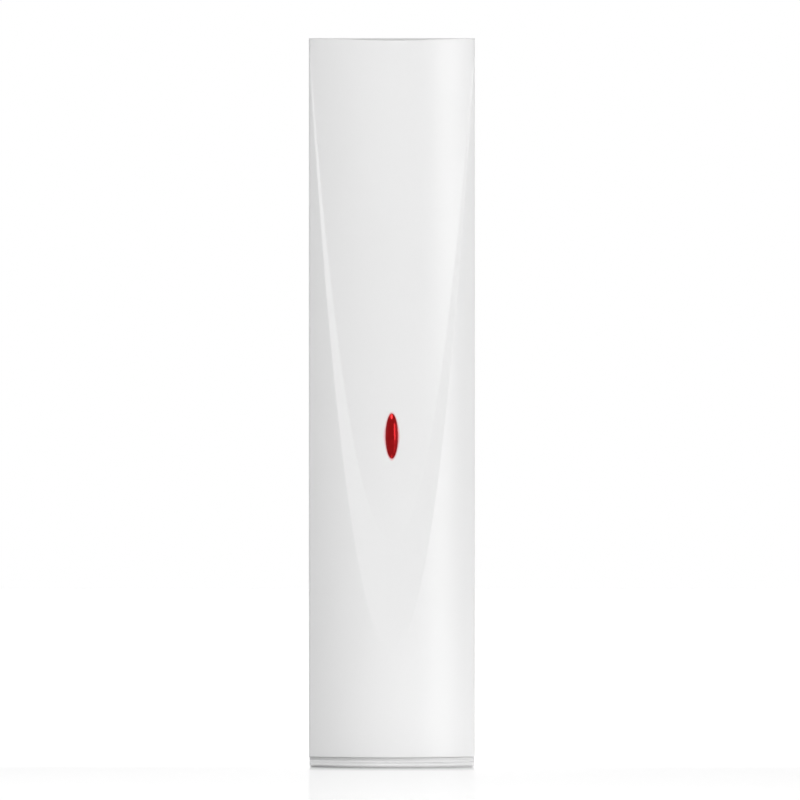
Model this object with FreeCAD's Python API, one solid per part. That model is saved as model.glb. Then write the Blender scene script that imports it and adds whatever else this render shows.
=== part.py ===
"""Wireless magnetic contact: a slim two-part housing with its battery, board, reeds and lid switch.

Millimetres. The origin is the middle of the foot, on the surface that the contact stands on.
+X is to the right seen from the front, the front faces -Y, and +Z is up.
"""

import FreeCAD, Part
import math
import os

from FreeCAD import Vector

# Overall size
HEIGHT = 112.0
WIDTH = 25.5
DEPTH = 29.0

# Front cover: outer form
CROWN_RADIUS = 20.0
TERRACE_SLOPE = 0.0495
TERRACE_START_Z = 18.0
TONGUE_SETBACK = 0.84
TONGUE_RADIUS = 23.4
CORNER_RADIUS = 0.7
TOP_DROOP = 0.45
TOP_DROOP_LENGTH = 3.4

# Front cover: shell
FRONT_WALL = 1.8
SIDE_WALL = 1.6
TOP_WALL = 1.8
CAVITY_CORNER = 1.2
RIB_THICKNESS = 1.0
RIB_HEIGHT = 1.6
RIB_LOW_Z = 10.5
WALL_OVERLAP = 0.9
COLLAR_WALL = 1.0
COLLAR_LENGTH = 3.4
POST_RADIUS = 1.6
CATCH_LENGTH = 7.0
CATCH_REACH = 0.7
CATCH_HEIGHTS = (41.0, 92.0)

# Rear base
PLATE_THICKNESS = 2.0
PLATE_INSET = 0.2
PLATE_CORNER = 0.8
FOOT_INSET = 0.1
FOOT_EDGE = 0.3
FOOT_EMBED = 0.6
SHOULDER_HEIGHT = 1.05
SHOULDER_CURVE = 0.4
SHOULDER_DEPTH = 0.75
SHOULDER_STEPS = 4
NECK_INSET = 1.1
SEAM_HEIGHT = 0.05
COVER_LIFT = 1.55
PLUG_HEIGHT = 4.5
PLUG_GAP = 0.15
SCREW_SPACING = 80.0
SCREW_CENTRE_Z = 56.0
SCREW_HOLE_RADIUS = 2.1
SCREW_BOSS_RADIUS = 4.6
SCREW_BOSS_HEIGHT = 1.2
KNOCKOUT_RADIUS = 4.0
KNOCKOUT_GROOVE = 0.6
KNOCKOUT_WEB = 0.6
KNOCKOUT_Z = 34.0
RAIL_WIDTH = 1.4
RAIL_SHELF = 1.2
LATCH_WIDTH = 5.0
LATCH_THICKNESS = 1.1
LATCH_LIP = 0.7
LATCH_LIP_HEIGHT = 1.4
LATCH_HEIGHTS = (28.0, 62.0)
STOP_WIDTH = 6.0
STOP_THICKNESS = 1.2
FINGER_MARGIN = 1.0
SEAT_GAP = 0.1

# How far cutting tools reach past the material, and blocks reach into what they join
PAST = 1.0

# Light guide
LENS_BELOW_TOP = 61.15
LENS_HALF_WIDTH = 0.93
LENS_HALF_HEIGHT = 3.43
LENS_RISE = 0.45
LENS_GAP = 0.03
LENS_FLANGE = 0.55
LENS_FLANGE_THICKNESS = 0.8
LED_GAP = 0.3

# Circuit board
BOARD_THICKNESS = 1.6
BOARD_SIDE_GAP = 0.95
BOARD_BOTTOM_Z = 6.0
BOARD_TOP_GAP = 1.8
BOARD_NOTCH_DEPTH = 0.9

# Battery and its cradle
CELL_RADIUS = 8.5
CELL_LENGTH = 34.5
CELL_NUB_RADIUS = 3.3
CELL_NUB_HEIGHT = 1.0
CELL_EDGE = 0.6
CELL_FRONT_GAP = 0.5
CELL_REAR_GAP = 0.76
CRADLE_GAP = 0.2
CRADLE_SIDE_GAP = 1.25
CRADLE_END_WALL = 1.2
CRADLE_SIDE_HEIGHT = 8.0
CRADLE_TOP_GAP = 0.6
CRADLE_END_GRIP = 11.5
CRADLE_WINDOW_DEPTH = 4.25
CONTACT_THICKNESS = 0.4
CONTACT_HALF_WIDTH = 3.5
CONTACT_PAST_AXIS = 1.65
LEAF_HALF_WIDTH = 1.75
LEAF_REACH = 4.25
SPRING_BOW = 1.6

# Reed switches
REED_GLASS_RADIUS = 1.1
REED_GLASS_LENGTH = 14.0
REED_GLASS_EDGE = 0.55
REED_BLADE_RADIUS = 0.3
REED_FOOT_RADIUS = 0.26
REED_TIP_RADIUS = 0.15
REED_TIP_OVERLAP = 0.6
REED_TIP_SPREAD = 0.18
REED_LEAD_LENGTH = 1.5
REED_CLEAR_HEIGHT = 0.4
REED_BORE_SHARE = 0.6
SIDE_REED_EDGE = 2.6
SIDE_REED_BELOW_CRADLE = 18.5
END_REED_Z = 11.0

# Lid switch
TAMPER_EDGE = 5.0
TAMPER_Z = 33.0
TAMPER_SIDE = 6.0
TAMPER_HEIGHT = 4.0
TAMPER_BORE_RADIUS = 1.3
TAMPER_BORE_DEPTH = 3.2
PLUNGER_GAP = 0.08
PLUNGER_TRAVEL = 1.0
PLUNGER_HEAD_RADIUS = 2.3
PLUNGER_HEAD_THICKNESS = 0.9
PLUNGER_LENGTH = 6.5
POST_GAP = 0.15
SPRING_WIRE_RADIUS = 0.2
SPRING_RADIUS = 1.85
SPRING_TURNS = 3
WIRE_SIDES = 4

# Terminal block
TERMINAL_Z = 20.5
TERMINAL_EDGE = 6.6
TERMINAL_PITCH = 5.0
TERMINAL_COUNT = 2
TERMINAL_DEPTH = 8.0
TERMINAL_LENGTH = 8.4
TERMINAL_CHAMFER = 1.6
TERMINAL_SCREW_RADIUS = 1.45
TERMINAL_SCREW_SLOT = 0.5
CLAMP_WALL = 0.5
TERMINAL_ENTRY = 2.6
TERMINAL_WALL = 0.9

# Small parts
LED_SIZE = (1.6, 1.1, 3.2)
LED_EDGE = 0.2
RADIO_CHIP = (5.0, 0.9, 5.0)
CONTROLLER = (7.0, 1.2, 7.0)
LEAD_SIZE = (0.9, 0.35, 0.3)
LEAD_PITCH = 1.0
CRYSTAL = (3.2, 1.6, 8.0)
CRYSTAL_ROUNDING = 1.45
CAPACITOR_RADIUS = 2.5
CAPACITOR_LENGTH = 6.0
CAPACITOR_EDGE = 0.3
ANTENNA_RADIUS = 1.6
ANTENNA_WIRE = 0.35
ANTENNA_PITCH = 2.75
ANTENNA_TURNS = 4
HEADER_PITCH = 2.54
HEADER_EDGE = 4.7
HEADER_PIN = 0.64
HEADER_PIN_LENGTH = 8.0
HEADER_BLOCK_HEIGHT = 2.5
JUMPER_HEIGHT = 5.0
CHIP_PART = (0.8, 0.5, 1.6)
CHIP_PITCH = 2.2
CHIP_COUNT = 3
CONTROLLER_Z = 47.0
RADIO_Z = 58.0
PART_GAP = 1.0

# Places worked out from the sizes above
CREST_Y = -DEPTH / 2
BACK_Y = DEPTH / 2
PLATE_FRONT_Y = BACK_Y - PLATE_THICKNESS
HALF_WIDTH = WIDTH / 2
CAVITY_HALF_WIDTH = HALF_WIDTH - SIDE_WALL
CAVITY_RADIUS = TONGUE_RADIUS - FRONT_WALL
CAVITY_CREST_Y = CREST_Y + TONGUE_SETBACK + FRONT_WALL
CAVITY_TOP_Z = HEIGHT - TOP_WALL
TONGUE_CREST_Y = CREST_Y + TONGUE_SETBACK
FOOT_TOP_Z = COVER_LIFT - SEAM_HEIGHT
LENS_Z = HEIGHT - LENS_BELOW_TOP
CELL_AXIS_Y = CAVITY_CREST_Y + CELL_FRONT_GAP + CELL_RADIUS
BOARD_FRONT_Y = CELL_AXIS_Y + CELL_RADIUS + CELL_REAR_GAP
BOARD_BACK_Y = BOARD_FRONT_Y + BOARD_THICKNESS
BOARD_HALF_WIDTH = CAVITY_HALF_WIDTH - BOARD_SIDE_GAP
BOARD_TOP_Z = CAVITY_TOP_Z - BOARD_TOP_GAP
CRADLE_HALF_WIDTH = CAVITY_HALF_WIDTH - CRADLE_SIDE_GAP
CRADLE_TOP_Z = BOARD_TOP_Z - CRADLE_TOP_GAP
CELL_TOP_Z = CRADLE_TOP_Z - CRADLE_END_WALL - CONTACT_THICKNESS
CELL_BOTTOM_Z = CELL_TOP_Z - CELL_LENGTH
CRADLE_BOTTOM_Z = CELL_BOTTOM_Z - SPRING_BOW - CONTACT_THICKNESS - CRADLE_END_WALL
SIDE_REED_X = SIDE_REED_EDGE - BOARD_HALF_WIDTH
SIDE_REED_Z = CRADLE_BOTTOM_Z - SIDE_REED_BELOW_CRADLE
TERMINAL_X = TERMINAL_EDGE - BOARD_HALF_WIDTH
TAMPER_X = BOARD_HALF_WIDTH - TAMPER_EDGE
PLUNGER_SEAT_Y = BOARD_FRONT_Y - TAMPER_HEIGHT
PLUNGER_TIP_Y = PLUNGER_SEAT_Y - PLUNGER_LENGTH + TAMPER_BORE_DEPTH - PLUNGER_TRAVEL - SEAT_GAP
CAPACITOR_TOP_Z = CRADLE_BOTTOM_Z - PART_GAP
ANTENNA_TOP_Z = CAPACITOR_TOP_Z - CAPACITOR_LENGTH - PART_GAP


def box(x0, x1, y0, y1, z0, z1):
    """A block between two corners."""
    return Part.makeBox(x1 - x0, y1 - y0, z1 - z0, Vector(x0, y0, z0))


def rod(radius, start, end):
    """A cylinder between two points."""
    return Part.makeCylinder(radius, (end - start).Length, start, end - start)


def arc_depth(radius, x):
    """How far a crowned face of this radius falls back at x from its middle line."""
    return radius - math.sqrt(radius**2 - x**2)


def crowned_outline(half_width, radius, crest_y, rear_y, corner, z):
    """A wire at height z: flat rear, straight sides, a crowned front and rounded front corners."""
    centre_y = crest_y + radius
    corner_x = half_width - corner
    reach = radius - corner
    corner_y = centre_y - math.sqrt(reach**2 - corner_x**2)
    scale = radius / reach
    tangent_x = corner_x * scale
    tangent_y = centre_y - (centre_y - corner_y) * scale
    half_angle = (math.atan2(tangent_y - corner_y, tangent_x - corner_x)) / 2
    middle_x = corner_x + corner * math.cos(half_angle)
    middle_y = corner_y + corner * math.sin(half_angle)

    def point(x, y):
        return Vector(x, y, z)

    right = [point(half_width, corner_y), point(middle_x, middle_y), point(tangent_x, tangent_y)]
    left = [point(-spot.x, spot.y) for spot in reversed(right)]
    edges = [
        Part.LineSegment(point(-half_width, rear_y), point(half_width, rear_y)).toShape(),
        Part.LineSegment(point(half_width, rear_y), right[0]).toShape(),
        Part.Arc(*right).toShape(),
        Part.Arc(right[2], point(0, crest_y), left[0]).toShape(),
        Part.Arc(*left).toShape(),
        Part.LineSegment(left[2], point(-half_width, rear_y)).toShape(),
    ]
    return Part.Wire(edges)


def crowned_prism(half_width, radius, crest_y, rear_y, corner, z0, z1):
    """The crowned outline carried straight up from z0 to z1."""
    face = Part.Face(crowned_outline(half_width, radius, crest_y, rear_y, corner, z0))
    return face.extrude(Vector(0, 0, z1 - z0))


def stacked_outlines(half_width, radius, crest_y, rear_y, steps):
    """A solid through crowned outlines, given as pairs of how far the front is drawn back and the height."""
    wires = []
    for setback, z in steps:
        wires.append(crowned_outline(half_width, radius, crest_y + setback, rear_y, CORNER_RADIUS, z))
    return Part.makeLoft(wires, True, True)


def oval_prism(half_width, half_height, z, y0, y1):
    """An upright oval in the XZ plane, carried back from y0 to y1."""
    ellipse = Part.Ellipse(Vector(0, 0, 0), half_height, half_width)
    face = Part.Face(Part.Wire(ellipse.toShape()))
    face.rotate(Vector(0, 0, 0), Vector(1, 0, 0), 90)
    face.rotate(Vector(0, 0, 0), Vector(0, 1, 0), 90)
    face.translate(Vector(0, y0, z))
    return face.extrude(Vector(0, y1 - y0, 0))


def helix_wire(radius, wire_radius, pitch, turns, start, direction):
    """A fine wire of square section, wound into a coil from start along direction."""
    helix = Part.makeHelix(pitch, pitch * turns, radius)
    corners = []
    for index in range(WIRE_SIDES + 1):
        angle = 2 * math.pi * index / WIRE_SIDES
        corners.append(Vector(radius + wire_radius * math.cos(angle), 0, wire_radius * math.sin(angle)))
    coil = Part.Wire(helix).makePipeShell([Part.makePolygon(corners)], True, True)
    turn = FreeCAD.Rotation(Vector(0, 0, 1), direction)
    coil.Placement = FreeCAD.Placement(start, turn)
    return coil


def terrace_y(z):
    """Where the slanted terrace lies at height z."""
    return CREST_Y + TERRACE_SLOPE * (z - TERRACE_START_Z)


def terrace_wedge():
    """The material in front of the terrace, which leans back from the crest towards the top."""
    top = HEIGHT + PAST
    points = [
        Vector(-WIDTH, CREST_Y - PAST, TERRACE_START_Z - PAST / TERRACE_SLOPE),
        Vector(-WIDTH, CREST_Y - PAST, top),
        Vector(-WIDTH, terrace_y(top), top),
    ]
    face = Part.Face(Part.makePolygon(points + [points[0]]))
    return face.extrude(Vector(2 * WIDTH, 0, 0))


def cover_outer():
    """The crowned block with the terrace cut into it and the tongue raised on the terrace."""
    block = crowned_prism(
        HALF_WIDTH, CROWN_RADIUS, CREST_Y, PLATE_FRONT_Y, CORNER_RADIUS, COVER_LIFT, HEIGHT
    )
    block = block.cut(terrace_wedge())
    tongue = crowned_prism(
        HALF_WIDTH, TONGUE_RADIUS, TONGUE_CREST_Y, 0, CORNER_RADIUS, COVER_LIFT, HEIGHT
    )
    return block.fuse(tongue).removeSplitter()


def top_droop():
    """What lies above the top, which curves down towards the crest of the front."""
    front_y = TONGUE_CREST_Y - PAST
    rear_y = TONGUE_CREST_Y + TOP_DROOP_LENGTH
    radius = (TOP_DROOP_LENGTH**2 + TOP_DROOP**2) / (2 * TOP_DROOP)
    reach = TOP_DROOP_LENGTH + PAST
    front_z = HEIGHT - arc_depth(radius, reach)
    middle_z = HEIGHT - arc_depth(radius, reach / 2)

    def point(y, z):
        return Vector(-WIDTH, y, z)

    corners = [point(rear_y, HEIGHT), point(rear_y, HEIGHT + PAST), point(front_y, HEIGHT + PAST)]
    edges = [
        Part.makeLine(corners[0], corners[1]),
        Part.makeLine(corners[1], corners[2]),
        Part.makeLine(corners[2], point(front_y, front_z)),
        Part.Arc(point(front_y, front_z), point(rear_y - reach / 2, middle_z), corners[0]).toShape(),
    ]
    return Part.Face(Part.Wire(edges)).extrude(Vector(2 * WIDTH, 0, 0))


def cavity():
    """The space inside the cover, open at the rear and at the bottom."""
    return crowned_prism(
        CAVITY_HALF_WIDTH,
        CAVITY_RADIUS,
        CAVITY_CREST_Y,
        PLATE_FRONT_Y,
        CAVITY_CORNER,
        COVER_LIFT,
        CAVITY_TOP_Z,
    )


def lens_slot():
    """The oval hole that the light guide looks out of."""
    return oval_prism(
        LENS_HALF_WIDTH + LENS_GAP,
        LENS_HALF_HEIGHT + LENS_GAP,
        LENS_Z,
        CREST_Y - PAST,
        CAVITY_CREST_Y + COLLAR_LENGTH + PAST,
    )


def lens_collar():
    """The sleeve that steadies the light guide behind the slot."""
    grow = LENS_GAP + COLLAR_WALL
    return oval_prism(
        LENS_HALF_WIDTH + grow,
        LENS_HALF_HEIGHT + grow,
        LENS_Z,
        CAVITY_CREST_Y - WALL_OVERLAP,
        CAVITY_CREST_Y + COLLAR_LENGTH,
    )


def switch_post():
    """The round post inside the cover that holds the lid switch down."""
    root_y = CAVITY_CREST_Y + arc_depth(CAVITY_RADIUS, TAMPER_X) - WALL_OVERLAP
    root = Vector(TAMPER_X, root_y, TAMPER_Z)
    return rod(POST_RADIUS, root, Vector(TAMPER_X, PLUNGER_TIP_Y - POST_GAP, TAMPER_Z))


def stiffening_rib(z):
    """A rib across the inside of the front wall, following its crown."""
    outer = crowned_prism(
        CAVITY_HALF_WIDTH,
        CAVITY_RADIUS,
        CAVITY_CREST_Y,
        0,
        CAVITY_CORNER,
        z,
        z + RIB_THICKNESS,
    )
    inner = crowned_prism(
        CAVITY_HALF_WIDTH - RIB_HEIGHT,
        CAVITY_RADIUS - RIB_HEIGHT,
        CAVITY_CREST_Y + RIB_HEIGHT,
        1,
        CAVITY_CORNER,
        z,
        z + RIB_THICKNESS,
    )
    return outer.cut(inner)


def catch_rear_y():
    """Where the rear face of every cover catch lies."""
    return PLATE_FRONT_Y - RAIL_SHELF - LATCH_LIP_HEIGHT


def side_catch(side, z):
    """A wedge inside a side wall that snaps into the base's finger."""
    wall_x = side * CAVITY_HALF_WIDTH
    rear_y = catch_rear_y()
    points = [
        Vector(wall_x + side * WALL_OVERLAP, rear_y, z - CATCH_LENGTH / 2),
        Vector(wall_x - side * CATCH_REACH, rear_y, z - CATCH_LENGTH / 2),
        Vector(wall_x, rear_y - CATCH_REACH, z - CATCH_LENGTH / 2),
        Vector(wall_x + side * WALL_OVERLAP, rear_y - CATCH_REACH, z - CATCH_LENGTH / 2),
    ]
    face = Part.Face(Part.makePolygon(points + [points[0]]))
    return face.extrude(Vector(0, 0, CATCH_LENGTH))


def make_front_cover():
    """The moulded front shell."""
    cover = cover_outer().cut(top_droop()).cut(cavity())
    for z in (RIB_LOW_Z, (LENS_Z + CRADLE_BOTTOM_Z) / 2):
        cover = cover.fuse(stiffening_rib(z))
    cover = cover.fuse(lens_collar()).fuse(switch_post())
    for side in (-1, 1):
        for z in CATCH_HEIGHTS:
            cover = cover.fuse(side_catch(side, z))
    return cover.cut(lens_slot()).removeSplitter()


def base_plate():
    """The flat back with rounded rear corners."""
    half = HALF_WIDTH - PLATE_INSET
    plate = box(-half, half, PLATE_FRONT_Y, BACK_Y, 0, HEIGHT)
    rear_edges = [
        edge
        for edge in plate.Edges
        if edge.CenterOfMass.y > BACK_Y - PLATE_THICKNESS / 4 and abs(edge.CenterOfMass.x) > half / 2
    ]
    return plate.makeFillet(PLATE_CORNER, rear_edges)


def shoulder_steps():
    """The shoulder's section, as pairs of how far it is drawn back and the height."""
    low_z = FOOT_TOP_Z - SHOULDER_HEIGHT
    steps = []
    for index in range(SHOULDER_STEPS + 1):
        angle = math.pi / 2 * index / SHOULDER_STEPS
        steps.append((SHOULDER_DEPTH * (1 - math.cos(angle)), low_z + SHOULDER_CURVE * math.sin(angle)))
    steps.append((SHOULDER_DEPTH, HEIGHT))
    return steps


def foot_shoulder():
    """What the rounded shoulder under the cover's front takes off the foot."""
    kept = stacked_outlines(
        HALF_WIDTH + PAST, CROWN_RADIUS, CREST_Y + FOOT_INSET, PLATE_FRONT_Y + PAST, shoulder_steps()
    )
    low_z = FOOT_TOP_Z - SHOULDER_HEIGHT
    return box(-WIDTH, WIDTH, CREST_Y - PAST, PLATE_FRONT_Y, low_z, FOOT_TOP_Z + PAST).cut(kept)


def foot_plate():
    """The foot: eased at the floor, with a shoulder and a narrower neck under the cover's front."""
    half = HALF_WIDTH - FOOT_INSET
    crest_y = CREST_Y + FOOT_INSET
    rear_y = PLATE_FRONT_Y + FOOT_EMBED
    foot = crowned_prism(half, CROWN_RADIUS, crest_y, rear_y, CORNER_RADIUS, 0, FOOT_TOP_Z)
    floor_edges = [edge for edge in foot.Edges if edge.BoundBox.ZMax < FOOT_EDGE]
    foot = foot.makeChamfer(FOOT_EDGE, floor_edges).cut(foot_shoulder())
    neck = crowned_prism(
        half - NECK_INSET,
        CROWN_RADIUS - NECK_INSET,
        crest_y + NECK_INSET,
        PLATE_FRONT_Y + PAST,
        CORNER_RADIUS,
        FOOT_TOP_Z - SEAM_HEIGHT,
        COVER_LIFT,
    )
    return foot.fuse(neck)


def end_plug():
    """The wall that closes the cover's open bottom from inside."""
    outer = crowned_prism(
        CAVITY_HALF_WIDTH - PLUG_GAP,
        CAVITY_RADIUS - PLUG_GAP,
        CAVITY_CREST_Y + PLUG_GAP,
        PLATE_FRONT_Y,
        CAVITY_CORNER,
        FOOT_TOP_Z - SEAM_HEIGHT,
        PLUG_HEIGHT,
    )
    inner = crowned_prism(
        CAVITY_HALF_WIDTH - PLUG_GAP - SIDE_WALL,
        CAVITY_RADIUS - PLUG_GAP - FRONT_WALL,
        CAVITY_CREST_Y + PLUG_GAP + FRONT_WALL,
        PLATE_FRONT_Y,
        CAVITY_CORNER,
        COVER_LIFT + WALL_OVERLAP,
        PLUG_HEIGHT + PAST,
    )
    return outer.cut(inner)


def screw_places():
    """The heights of the two fixing holes."""
    return (SCREW_CENTRE_Z - SCREW_SPACING / 2, SCREW_CENTRE_Z + SCREW_SPACING / 2)


def screw_boss(z):
    """The raised ring round a fixing hole."""
    front = Vector(0, PLATE_FRONT_Y - SCREW_BOSS_HEIGHT, z)
    return rod(SCREW_BOSS_RADIUS, front, Vector(0, BACK_Y - PAST, z))


def screw_hole(z):
    """The through hole of a fixing screw."""
    front = Vector(0, PLATE_FRONT_Y - SCREW_BOSS_HEIGHT - PAST, z)
    return rod(SCREW_HOLE_RADIUS, front, Vector(0, BACK_Y + PAST, z))


def knockout_groove():
    """The ring round the cable knock-out, cut from the back and leaving a thin web."""
    front = Vector(0, PLATE_FRONT_Y + KNOCKOUT_WEB, KNOCKOUT_Z)
    rear = Vector(0, BACK_Y + PAST, KNOCKOUT_Z)
    return rod(KNOCKOUT_RADIUS, front, rear).cut(rod(KNOCKOUT_RADIUS - KNOCKOUT_GROOVE, front, rear))


def board_rail(side):
    """A rail along one edge of the base that the board's back rests on."""
    x_outer = side * BOARD_HALF_WIDTH
    x_inner = side * (BOARD_HALF_WIDTH - RAIL_WIDTH)
    return box(
        min(x_outer, x_inner),
        max(x_outer, x_inner),
        BOARD_BACK_Y,
        PLATE_FRONT_Y + PAST,
        BOARD_BOTTOM_Z,
        BOARD_TOP_Z,
    )


def board_latch(side, z):
    """A springy finger whose lip holds one edge of the board down."""
    x_in = side * (BOARD_HALF_WIDTH - BOARD_NOTCH_DEPTH + SEAT_GAP)
    lip_y = BOARD_FRONT_Y - SEAT_GAP
    points = [
        Vector(x_in, PLATE_FRONT_Y + PAST, 0),
        Vector(x_in, lip_y, 0),
        Vector(x_in - side * LATCH_LIP, lip_y, 0),
        Vector(x_in, lip_y - LATCH_LIP_HEIGHT, 0),
        Vector(x_in + side * LATCH_THICKNESS, lip_y - LATCH_LIP_HEIGHT, 0),
        Vector(x_in + side * LATCH_THICKNESS, PLATE_FRONT_Y + PAST, 0),
    ]
    face = Part.Face(Part.makePolygon(points + [points[0]]))
    face.translate(Vector(0, 0, z - LATCH_WIDTH / 2))
    return face.extrude(Vector(0, 0, LATCH_WIDTH))


def cover_finger(side, z):
    """A block beside the rail, with the pocket that a cover catch snaps into."""
    x_in = side * (BOARD_HALF_WIDTH - RAIL_WIDTH)
    x_out = side * (CAVITY_HALF_WIDTH - SEAT_GAP)
    half_length = CATCH_LENGTH / 2 + FINGER_MARGIN
    front_y = max(BOARD_BACK_Y, catch_rear_y() - CATCH_REACH - FINGER_MARGIN)
    finger = box(
        min(x_in, x_out),
        max(x_in, x_out),
        front_y,
        PLATE_FRONT_Y + PAST,
        z - half_length,
        z + half_length,
    )
    pocket_in = side * (CAVITY_HALF_WIDTH - CATCH_REACH - SEAT_GAP)
    pocket_out = side * HALF_WIDTH
    half_pocket = CATCH_LENGTH / 2 + SEAT_GAP
    pocket = box(
        min(pocket_in, pocket_out),
        max(pocket_in, pocket_out),
        catch_rear_y() - CATCH_REACH - SEAT_GAP,
        catch_rear_y() + SEAT_GAP,
        z - half_pocket,
        z + half_pocket,
    )
    return finger.cut(pocket)


def end_stop(z0):
    """A lug on the base, from z0 up, that keeps the board from sliding along its rails."""
    half = STOP_WIDTH / 2
    return box(-half, half, BOARD_FRONT_Y, PLATE_FRONT_Y + PAST, z0, z0 + STOP_THICKNESS)


def make_rear_base():
    """The moulded rear base: back plate, foot, end plug, board rails and latches."""
    base = base_plate().fuse(foot_plate()).fuse(end_plug())
    for z in screw_places():
        base = base.fuse(screw_boss(z))
    for side in (-1, 1):
        base = base.fuse(board_rail(side))
        for z in LATCH_HEIGHTS:
            base = base.fuse(board_latch(side, z))
        for z in CATCH_HEIGHTS:
            base = base.fuse(cover_finger(side, z))
    base = base.fuse(end_stop(BOARD_BOTTOM_Z - SEAT_GAP - STOP_THICKNESS))
    base = base.fuse(end_stop(BOARD_TOP_Z + SEAT_GAP))
    for z in screw_places():
        base = base.cut(screw_hole(z))
    return base.cut(knockout_groove()).removeSplitter()


def lens_spheroid(front_y):
    """An upright spheroid that passes through the stem's oval at front_y and rises LENS_RISE past it."""
    span = LENS_HALF_WIDTH**2 / LENS_RISE
    radius = (span + LENS_RISE) / 2
    half_length = LENS_HALF_HEIGHT * radius / LENS_HALF_WIDTH
    centre = Vector(0, front_y + (span - LENS_RISE) / 2, LENS_Z)
    top = centre + Vector(0, 0, half_length)
    low = centre - Vector(0, 0, half_length)
    ellipse = Part.Ellipse(top, centre + Vector(radius, 0, 0), centre)
    half_outline = [Part.ArcOfEllipse(ellipse, 0, math.pi).toShape(), Part.makeLine(low, top)]
    return Part.Face(Part.Wire(half_outline)).revolve(centre, Vector(0, 0, 1), 360)


def make_light_guide():
    """The red moulded light guide: domed oval face, stem and retaining flange."""
    front_y = TONGUE_CREST_Y
    rear_y = BOARD_FRONT_Y - LED_SIZE[1] - LED_GAP
    stem = oval_prism(LENS_HALF_WIDTH, LENS_HALF_HEIGHT, LENS_Z, front_y, rear_y)
    flange_y = CAVITY_CREST_Y + COLLAR_LENGTH + SEAT_GAP
    flange = box(
        -LENS_HALF_WIDTH - LENS_FLANGE,
        LENS_HALF_WIDTH + LENS_FLANGE,
        flange_y,
        flange_y + LENS_FLANGE_THICKNESS,
        LENS_Z - LENS_HALF_HEIGHT - LENS_FLANGE,
        LENS_Z + LENS_HALF_HEIGHT + LENS_FLANGE,
    )
    front_half = box(-WIDTH, WIDTH, front_y - PAST, front_y, 0, HEIGHT)
    dome = lens_spheroid(front_y).common(front_half)
    return stem.fuse(flange).fuse(dome).removeSplitter()


def make_circuit_board():
    """The board, with a notch at each latch."""
    half = BOARD_HALF_WIDTH
    board = box(-half, half, BOARD_FRONT_Y, BOARD_BACK_Y, BOARD_BOTTOM_Z, BOARD_TOP_Z)
    for side in (-1, 1):
        for z in LATCH_HEIGHTS:
            x_in = side * (half - BOARD_NOTCH_DEPTH)
            x_out = side * (half + PAST)
            notch = box(
                min(x_in, x_out),
                max(x_in, x_out),
                BOARD_FRONT_Y - PAST,
                BOARD_BACK_Y + PAST,
                z - LATCH_WIDTH / 2 - SEAT_GAP,
                z + LATCH_WIDTH / 2 + SEAT_GAP,
            )
            board = board.cut(notch)
    return board


def on_board(size, x, z):
    """A block of size (wide, tall off the board, long) standing on the board's front at x, z."""
    return box(
        x - size[0] / 2,
        x + size[0] / 2,
        BOARD_FRONT_Y - size[1],
        BOARD_FRONT_Y,
        z - size[2] / 2,
        z + size[2] / 2,
    )


def make_status_led():
    """The surface-mounted lamp behind the light guide, with its small domed window."""
    body = on_board(LED_SIZE, 0, LENS_Z)
    lip = LED_SIZE[1] / 2
    edges = [edge for edge in body.Edges if edge.BoundBox.YMax < BOARD_FRONT_Y - lip]
    return body.makeChamfer(LED_EDGE, edges)


def reed_axis_y():
    """How far in front of the back a reed's axis lies."""
    return BOARD_FRONT_Y - REED_GLASS_RADIUS - REED_CLEAR_HEIGHT


def make_reed_glass(centre, along):
    """A sealed glass tube with round ends, hollow where its blades meet."""
    low = centre - along * (REED_GLASS_LENGTH / 2)
    high = centre + along * (REED_GLASS_LENGTH / 2)
    inset = along * REED_GLASS_RADIUS
    glass = rod(REED_GLASS_RADIUS, low, high)
    rims = [edge for edge in glass.Edges if isinstance(edge.Curve, Part.Circle)]
    glass = glass.makeChamfer(REED_GLASS_EDGE, rims)
    room = rod(REED_GLASS_RADIUS * REED_BORE_SHARE, low + inset * 2, high - inset * 2)
    leads = rod(REED_BLADE_RADIUS, low - inset, high + inset)
    return glass.cut(room).cut(leads).removeSplitter()


def make_reed_blades(centre, along):
    """Two wires that end in overlapping blades inside the glass and are bent down to the board."""
    blades = []
    for sense in (-1, 1):
        out = along * sense
        tip = centre - out * REED_TIP_OVERLAP + Vector(0, sense * REED_TIP_SPREAD, 0)
        neck = centre + out * (REED_GLASS_LENGTH / 2)
        knee = neck + out * REED_LEAD_LENGTH
        foot = Vector(knee.x, BOARD_FRONT_Y, knee.z)
        root = centre + out * (REED_GLASS_LENGTH / 2 - REED_GLASS_RADIUS * 2)
        blade = rod(REED_BLADE_RADIUS, root, knee + out * REED_BLADE_RADIUS)
        blade = blade.fuse(rod(REED_FOOT_RADIUS, knee, foot))
        blade = blade.fuse(rod(REED_TIP_RADIUS, tip, root))
        blades.append(blade.removeSplitter())
    return Part.makeCompound(blades)


def make_battery_cell():
    """The round lithium cell with its raised positive cap."""
    low = Vector(0, CELL_AXIS_Y, CELL_BOTTOM_Z)
    shoulder = Vector(0, CELL_AXIS_Y, CELL_TOP_Z - CELL_NUB_HEIGHT)
    can = rod(CELL_RADIUS, low, shoulder)
    can = can.makeChamfer(CELL_EDGE, [edge for edge in can.Edges if isinstance(edge.Curve, Part.Circle)])
    return can.fuse(rod(CELL_NUB_RADIUS, shoulder, Vector(0, CELL_AXIS_Y, CELL_TOP_Z)))


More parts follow.
